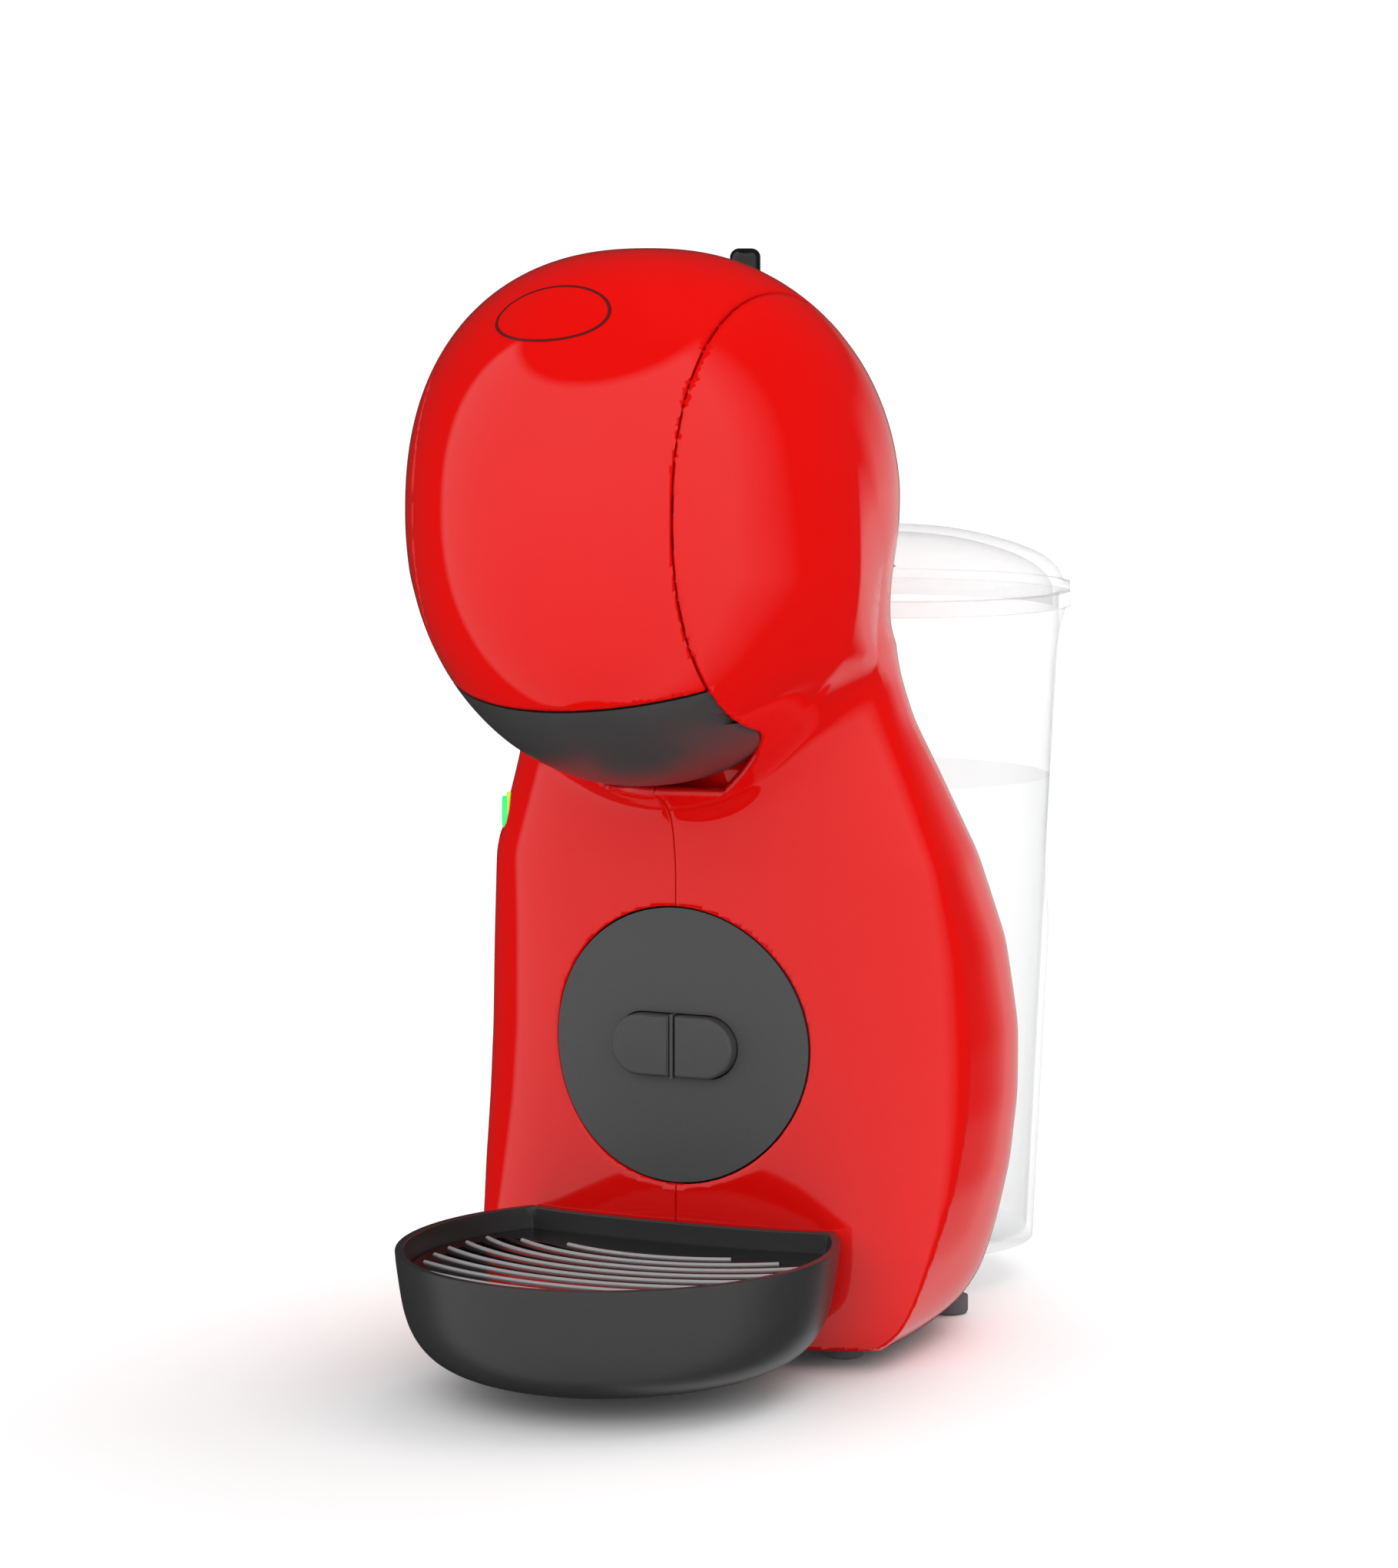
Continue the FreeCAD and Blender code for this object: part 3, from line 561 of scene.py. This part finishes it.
# %% Ball and drum
bm = bmesh.new()
ball = bmesh.ops.create_uvsphere(bm, u_segments=64, v_segments=40, radius=0.06)["verts"]
bmesh.ops.translate(bm, verts=ball, vec=Vector(HEAD_AT) * MM)
p = settle(head_gap, places(bm), 12)
put(bm, p)
drum = bmesh.ops.create_cone(bm, cap_ends=True, cap_tris=False, segments=96, radius1=0.05,
                             radius2=0.05, depth=0.215)["verts"]
bmesh.ops.translate(bm, verts=drum, vec=(0.0, 0.0, 0.0955))
upright = [e for e in {e for v in drum for e in v.link_edges} if abs(e.verts[0].co.z - e.verts[1].co.z) > 0.1]
bmesh.ops.subdivide_edges(bm, edges=upright, cuts=40, use_grid_fill=True)
drum = list(bm.verts)[len(ball):]
p = np.array([v.co for v in drum]) / MM
reach = np.hypot(p[:, 0], p[:, 1])
for _ in range(14):
    p[:, :2] -= (trunk_gap(p) * 0.8 / np.maximum(np.hypot(p[:, 0], p[:, 1]), 1.0))[:, None] * p[:, :2]
for v, c in zip(drum, p * MM):
    v.co = c
form = loose("form", bm)
voxels = form.modifiers.new("voxels", "REMESH")
voxels.mode = "VOXEL"
voxels.voxel_size = 0.0015
form_mesh = baked(form)
print("voxel skin", len(form_mesh.vertices))

# %% Slide, relax, slide
bm = bmesh.new()
bm.from_mesh(form_mesh)
bmesh.ops.bisect_plane(bm, geom=bm.verts[:] + bm.edges[:] + bm.faces[:], dist=1e-7,
                                   plane_co=(0, 0, -0.004), plane_no=(0, 0, -1), clear_outer=True)
rim = [e for e in bm.edges if e.is_boundary]
bmesh.ops.holes_fill(bm, edges=rim)
moving = [v for v in bm.verts if v.co.z > -0.0035]
for turn in range(7):
    p = settle(body_gap, np.array([v.co for v in moving]) / MM, 3 if turn < 6 else 6)
    for v, c in zip(moving, p * MM):
        v.co = c
    if turn < 6:
        bmesh.ops.smooth_vert(bm, verts=moving, factor=0.6, use_axis_x=True, use_axis_y=True,
                              use_axis_z=True)
bmesh.ops.recalc_face_normals(bm, faces=bm.faces)
form = loose("form", bm)
off = np.abs(body_gap(p))
print("form vertices", len(form.data.vertices), "worst distance mm", round(float(off.max()), 3))

# %% [markdown]
# ## Cutting the skin apart
# Each opening and parting line is described by a distance too: nought on the line. Vertices close to
# the line are slid onto it, every edge that crosses it is split there, and the new vertices are joined
# across each face. That leaves a clean line of even squares, where a boolean would leave slivers that
# spoil the reflections.

# %% Cut along a line and drop one side
def trimmed(bm, side, gap, near=0.42):
    """Removes the part of a skin where side() is below nought."""
    verts = bm.verts[:]
    p = places(bm)
    d = side(p)
    close = np.abs(d) < near
    if close.any():
        q = p[close]
        for _ in range(4):
            g = slope(side, q)
            q = q - g * (side(q) / np.maximum((g * g).sum(axis=1), 0.05))[:, None]
            h = slope(gap, q)
            h -= g * ((g * h).sum(axis=1) / np.maximum((g * g).sum(axis=1), 0.05))[:, None]
            q = q - h * (gap(q) / np.maximum((h * h).sum(axis=1), 0.15))[:, None]
        good = np.linalg.norm(q - p[close], axis=1) < 1.2
        for i, c, ok in zip(np.nonzero(close)[0], q, good):
            if ok:
                verts[i].co = c * MM
                d[i] = 0.0
    value = {v: float(x) for v, x in zip(verts, d)}
    line = [v for v in verts if value[v] == 0.0]
    for e in bm.edges[:]:
        a, b = value[e.verts[0]], value[e.verts[1]]
        if a * b < 0.0:
            first = e.verts[0]
            _, v = bmesh.utils.edge_split(e, first, a / (a - b))
            value[v] = 0.0
            line.append(v)
    bmesh.ops.connect_verts(bm, verts=line, check_degenerate=True)
    centres = np.array([f.calc_center_median() for f in bm.faces]) / MM
    drop = side(centres) < 0.0
    bmesh.ops.delete(bm, geom=[f for f, out in zip(bm.faces[:], drop) if out], context="FACES")
    return bm


def skin_of(form_data, gap, *sides):
    bm = bmesh.new()
    bm.from_mesh(form_data)
    for side in sides:
        trimmed(bm, side, gap)
    bmesh.ops.delete(bm, geom=[v for v in bm.verts if not v.link_faces], context="VERTS")
    bm.normal_update()
    rim = [(v, v.normal.copy()) for v in bm.verts if v.is_boundary]
    for v, outward in rim:
        v.co -= outward * 0.00008
    return bm


def walled(obj, thickness):
    """Gives a skin its wall, inwards."""
    wall = obj.modifiers.new("wall", "SOLIDIFY")
    wall.thickness = thickness
    wall.offset = -1.0
    wall.use_rim = True
    return obj


print("cutting tools ready")

# %% [markdown]
# Places are the CAD's own, in millimetres, and each opening is a little wider than the part in it: the
# slot between the cheeks, the hinge, the round disc, the power key, the cord's gland and the tank.

# %% Lines on the body
SLOT, WELL_Y, LIP = 35.0, -71.6, (173.3, -120.9, 0.256)
LINE = 0.25                                  # half of the gap along the slot
HINGE_Y, HINGE_Z, HINGE_ROOM = 11.5, 253.0, 6.0
DISC_Z, DISC_HOLE = 82.0, 36.0
KEY_AT, KEY_AXIS, KEY_HOLE = (-58.6, -24.6, 137.5), (0.873, 0.488, 0.0), 5.4
GLAND_Y, GLAND_Z, GLAND_HOLE = 26.0, 21.0, 4.0
TANK_Y, TANK_LOW, TANK_HIGH = 85.4, 10.6, 180.4    # axis, foot, height above the foot
FAR = 50.0                                   # any distance that is well clear of a line


def plan(p, half, deep):
    """The slot between the cheeks, seen from above: straight sides and a round rear end."""
    x, y = p[:, 0], np.maximum(p[:, 1] - WELL_Y, 0.0)
    rho = np.sqrt((x / half) ** 2 + (y / deep) ** 2)
    return np.where(p[:, 1] < WELL_Y, np.abs(x) - half,
                    np.hypot(x, y) * (1.0 - 1.0 / np.maximum(rho, 1e-3)))


def outside_slot(p):
    """The slot's edge, its rear end, and room for the visor's turning edge at the hinge."""
    low = np.maximum(plan(p, SLOT + LINE, 23.9), 148.0 - p[:, 2])
    hinge = np.hypot(p[:, 1] - HINGE_Y, p[:, 2] - HINGE_Z) - HINGE_ROOM
    high = np.minimum(252.3 - p[:, 2], hinge)
    return np.minimum(low, np.maximum(np.abs(p[:, 0]) - SLOT - LINE, high))


def outside_disc(p):
    return np.where(p[:, 1] < -15.0, np.hypot(p[:, 0], p[:, 2] - DISC_Z) - DISC_HOLE, FAR)


def outside_button(p):
    at, axis = np.array(KEY_AT), np.array(KEY_AXIS)
    q = p - at
    off = np.linalg.norm(q - (q @ axis)[:, None] * axis, axis=1) - KEY_HOLE
    return np.where(p[:, 0] < 0.0, off, FAR)


def outside_gland(p):
    off = np.hypot(p[:, 1] - GLAND_Y, p[:, 2] - GLAND_Z) - GLAND_HOLE
    return np.where(p[:, 0] < 0.0, off, FAR)


def outside_tank(p):
    f = (p[:, 2] - TANK_LOW) / TANK_HIGH
    a, b = 48.2 + 8.3 * f, 46.4 + 7.4 * f
    return np.hypot(p[:, 0], (p[:, 1] - TANK_Y) * a / b) - a


def above_floor(p):
    return p[:, 2] - 5.0


def in_visor(p):
    lip = p[:, 2] - LIP[0] - 0.3 - LIP[2] * (p[:, 1] - LIP[1])
    rear = np.minimum(plan(p, SLOT - LINE, 23.2), 252.6 - p[:, 2])
    return np.minimum(np.minimum(SLOT - LINE - np.abs(p[:, 0]), lip), -rear)


# %% Left and right shell, visor
skins = {}
for side, name in ((-1.0, "left_shell"), (1.0, "right_shell")):
    bm = skin_of(form.data, body_gap, lambda p: side * p[:, 0] - 0.1, above_floor, outside_slot,
                 outside_disc, outside_button, outside_gland, outside_tank)
    obj = piece(name + "_skin", bm, shell_red, "machine", (name,), 40.0)
    walled(obj, 0.0022)
    skins[name] = obj
obj = piece("visor_skin", skin_of(form.data, body_gap, in_visor), visor_red, "visor",
            ("visor",), 40.0)
walled(obj, 0.0022)
skins["visor"] = obj
bpy.data.objects.remove(form)
print({n: len(o.data.polygons) for n, o in skins.items()})

# %% [markdown]
# ## Inner walls
# Behind the outer skin the shells have cheek walls, and the visor has side flanges and its hinge
# knuckles. Those come from the CAD parts: a copy without the outer faces, which the skins stand for.

# %% Inner walls of shells and visor
for name in skins:
    bm = welded(name, flat=0)
    centres = np.array([f.calc_center_median() for f in bm.faces]) / MM
    normals = np.array([f.normal for f in bm.faces])
    outward = slope(body_gap, centres)
    outward /= np.maximum(np.linalg.norm(outward, axis=1), 1e-6)[:, None]
    outer = (np.abs(body_gap(centres)) < 1.6) & ((outward * normals).sum(axis=1) > 0.75)
    bmesh.ops.delete(bm, geom=[f for f, o in zip(bm.faces[:], outer) if o], context="FACES")
    bmesh.ops.delete(bm, geom=[v for v in bm.verts if not v.link_faces], context="VERTS")
    p = places(bm)
    for _ in range(3):
        g = slope(body_gap, p)
        proud = np.maximum(body_gap(p) + 0.7, 0.0) / np.maximum((g * g).sum(axis=1), 0.2)
        p = p - g * proud[:, None]
    put(bm, p)
    slot = slot_of[name]
    piece(name + "_inner", bm, finish_of[slot], body_of[name], (name,), 30.0)
    print(name, "outer faces left out", int(outer.sum()), "of", len(outer))

# %% [markdown]
# ## Curved parts
# Parts with large curved faces keep the CAD's own fine facets and are shaded smooth. Only edges that
# are really sharp stay sharp. The tray's rim and the knob get a small live rounding as well.

# %% Smooth copies of the curved parts
for node in ("rear_spine", "front_disc", "water_tank", "tank_lid"):
    rounded_copy(node, 0, flat=0, smooth=32.0)
rounded_copy("capsule_holder", 0.0004, flat=0, smooth=32.0, limit=55.0)
rounded_copy("drip_tray", 0.0006, tray_black, flat=0, smooth=32.0, limit=55.0)
rounded_copy("crown_knob", 0.0004, black_gloss, flat=0, smooth=40.0, limit=50.0)
print("smooth copies done")

# %% [markdown]
# ## Grid with raised ribs
# The cup stands on a black plate whose curved slots let drips through. Each rib between two slots
# carries a thin rounded bead coloured light grey: a painted highlight along the top of the black rib.
# A bead is a small circle swept round the centre of the curve with spin, as far as the plate's open
# field reaches, and its two ends are filled.

# %% Plate
grid_black = grained("grid_black", (0.005, 0.005, 0.006), 0.14, 500.0, 0.000008)
# The light grey of the beads is a painted highlight on ribs that are the plate's black.
bead_black = grained("bead_black", (0.34, 0.34, 0.345), 0.16, 500.0, 0.000005)
rounded_copy("drip_grid", 0.0002, grid_black, flat=0.3, smooth=32.0, limit=50.0)


# %% Beads
RIB_Y, BEAD_R, FIRST, STEP, TOP = -12.0, 0.65, 31.8, 7.0, 30.9    # the ribs are arcs about one centre


def bead_reach(radius):
    """Half angle over which a bead of this radius stays inside the plate's field."""
    a = np.radians(np.arange(0.0, 75.0, 0.25))
    x, y = radius * np.sin(a), RIB_Y - radius * np.cos(a)
    inside = ((x / 48.5) ** 2 + ((y + 77.4) / 53.0) ** 2 < 1.0) & (y < -59.5)
    return float(a[inside].max()) if inside.any() else 0.0


bm = bmesh.new()
beads, centre = 0, (0.0, RIB_Y * MM, 0.0)
for i in range(11):
    radius = FIRST + STEP * i
    reach = bead_reach(radius)
    if reach < math.radians(8):
        continue
    ring = bmesh.ops.create_circle(bm, cap_ends=False, segments=10, radius=BEAD_R * MM)["verts"]
    bmesh.ops.rotate(bm, verts=ring, matrix=Matrix.Rotation(math.radians(90), 3, "Y"))
    bmesh.ops.translate(bm, verts=ring, vec=(0.0, (RIB_Y - radius) * MM, TOP * MM))
    bmesh.ops.rotate(bm, verts=ring, cent=centre, matrix=Matrix.Rotation(-reach, 3, "Z"))
    hoop = [e for e in bm.edges if e.verts[0] in ring and e.verts[1] in ring]
    swept = bmesh.ops.spin(bm, geom=ring + hoop, cent=centre, axis=(0, 0, 1),
                           angle=2 * reach, steps=44, use_merge=False)
    last = [g for g in swept["geom_last"] if isinstance(g, bmesh.types.BMEdge)]
    bmesh.ops.holes_fill(bm, edges=hoop + last)
    beads += 1
bmesh.ops.recalc_face_normals(bm, faces=bm.faces)
# The beads carry the painted highlight grey along the tops of the ribs.
piece("grid_beads", bm, bead_black, "drip_grid", (), 50.0)
print("beads", beads)

# %% [markdown]
# ## Water
# The tank is about two thirds full. The water is one closed body of its own, a hair inside the tank's
# wall, so that its flat surface and its tint show through the clear plastic.

# %% Water
bm = bmesh.new()
low, high = 13.4, 140.0
half = [44.8 + 8.3 * (z - TANK_LOW) / TANK_HIGH - 2.2 for z in (low, high)]
water = bmesh.ops.create_cone(bm, cap_ends=True, segments=96, radius1=half[0] * MM,
                              radius2=half[1] * MM, depth=(high - low) * MM)["verts"]
bmesh.ops.scale(bm, verts=water, vec=(1.0, 0.955, 1.0))
bmesh.ops.translate(bm, verts=water, vec=(0.0, TANK_Y * MM, (low + high) / 2 * MM))
piece("tank_water", bm, water_clear, "water_tank", (), 40.0)
print("water to", high, "mm")

# %% [markdown]
# ## Badge ring
# High on the visor lies a thin oval ring, an inlay. It stands a hair proud of the red skin, so that the two
# surfaces never lie in each other.

# %% Badge ring
bm = welded("visor_badge", flat=0)
for v in bm.verts:
    p = np.array(v.co)[None] / MM
    v.co = Vector(settle(body_gap, p)[0] * MM) if body_gap(p)[0] > -0.15 else v.co
bm.normal_update()
for v in bm.verts:
    g = slope(body_gap, np.array(v.co)[None] / MM)[0]
    v.co += Vector(g / np.linalg.norm(g)) * 0.00006
piece("badge_ring", bm, badge_dark, "visor", ("visor_badge",), 40.0)
print("badge ring ready")
